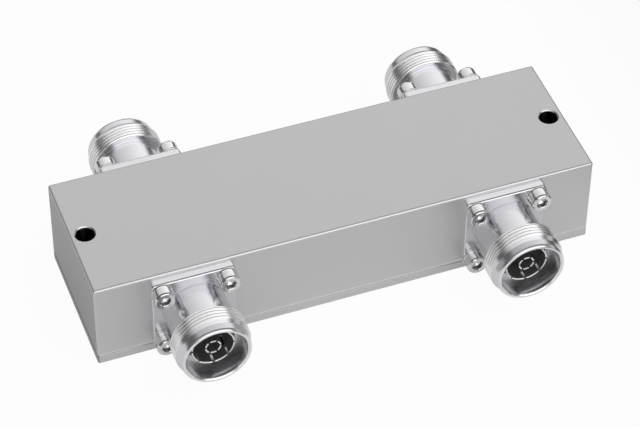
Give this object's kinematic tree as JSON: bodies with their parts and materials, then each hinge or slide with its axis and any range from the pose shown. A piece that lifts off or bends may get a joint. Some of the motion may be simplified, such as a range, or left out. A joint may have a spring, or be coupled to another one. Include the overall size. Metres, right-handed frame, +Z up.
{
  "type": "hybrid coupler",
  "caption": "Low rectangular box that splits radio signals between flanged coaxial jacks on its long sides, with a through hole at each end for mounting.",
  "frame": {"origin": "middle of the box's flat underside, which is also the middle of the whole part's footprint", "axes": "+X along the box towards the right-hand ports, +Y towards the rear ports, +Z up, out of the face that shows both mounting holes"},
  "size_m": [0.136, 0.0816, 0.0266],
  "materials": {
    "housing_aluminium": "satin, fine blasted",
    "cover_aluminium": "satin, fine blasted",
    "jack_plating": "polished white bronze plating",
    "contact_plating": "bright silver plating",
    "steel_screws": "bright stainless",
    "line_brass": "silver plating",
    "bead_plastic": "matt black plastic",
    "support_plastic": "white fluoroplastic",
    "seal_rubber": "matt silicone",
    "conductive_cord": "matt, metal filled"
  },
  "bodies": {
    "root": {"housing": "housing_aluminium", "base_cover": "cover_aluminium", "cover_seal": "conductive_cord", "cover_screws": "steel_screws", "flange_screws": "steel_screws", "front_line": "line_brass", "rear_line": "line_brass", "line_support_left": "support_plastic", "line_support_middle": "support_plastic", "line_support_right": "support_plastic", "port_1_body": "jack_plating", "port_1_outer_contact": "contact_plating", "port_1_inner_contact": "contact_plating", "port_1_insulator": "bead_plastic", "port_1_flange_seal": "seal_rubber", "port_2_body": "jack_plating", "port_2_outer_contact": "contact_plating", "port_2_inner_contact": "contact_plating", "port_2_insulator": "bead_plastic", "port_2_flange_seal": "seal_rubber", "port_3_body": "jack_plating", "port_3_outer_contact": "contact_plating", "port_3_inner_contact": "contact_plating", "port_3_insulator": "bead_plastic", "port_3_flange_seal": "seal_rubber", "port_4_body": "jack_plating", "port_4_outer_contact": "contact_plating", "port_4_inner_contact": "contact_plating", "port_4_insulator": "bead_plastic", "port_4_flange_seal": "seal_rubber"}
  },
  "joints": []
}
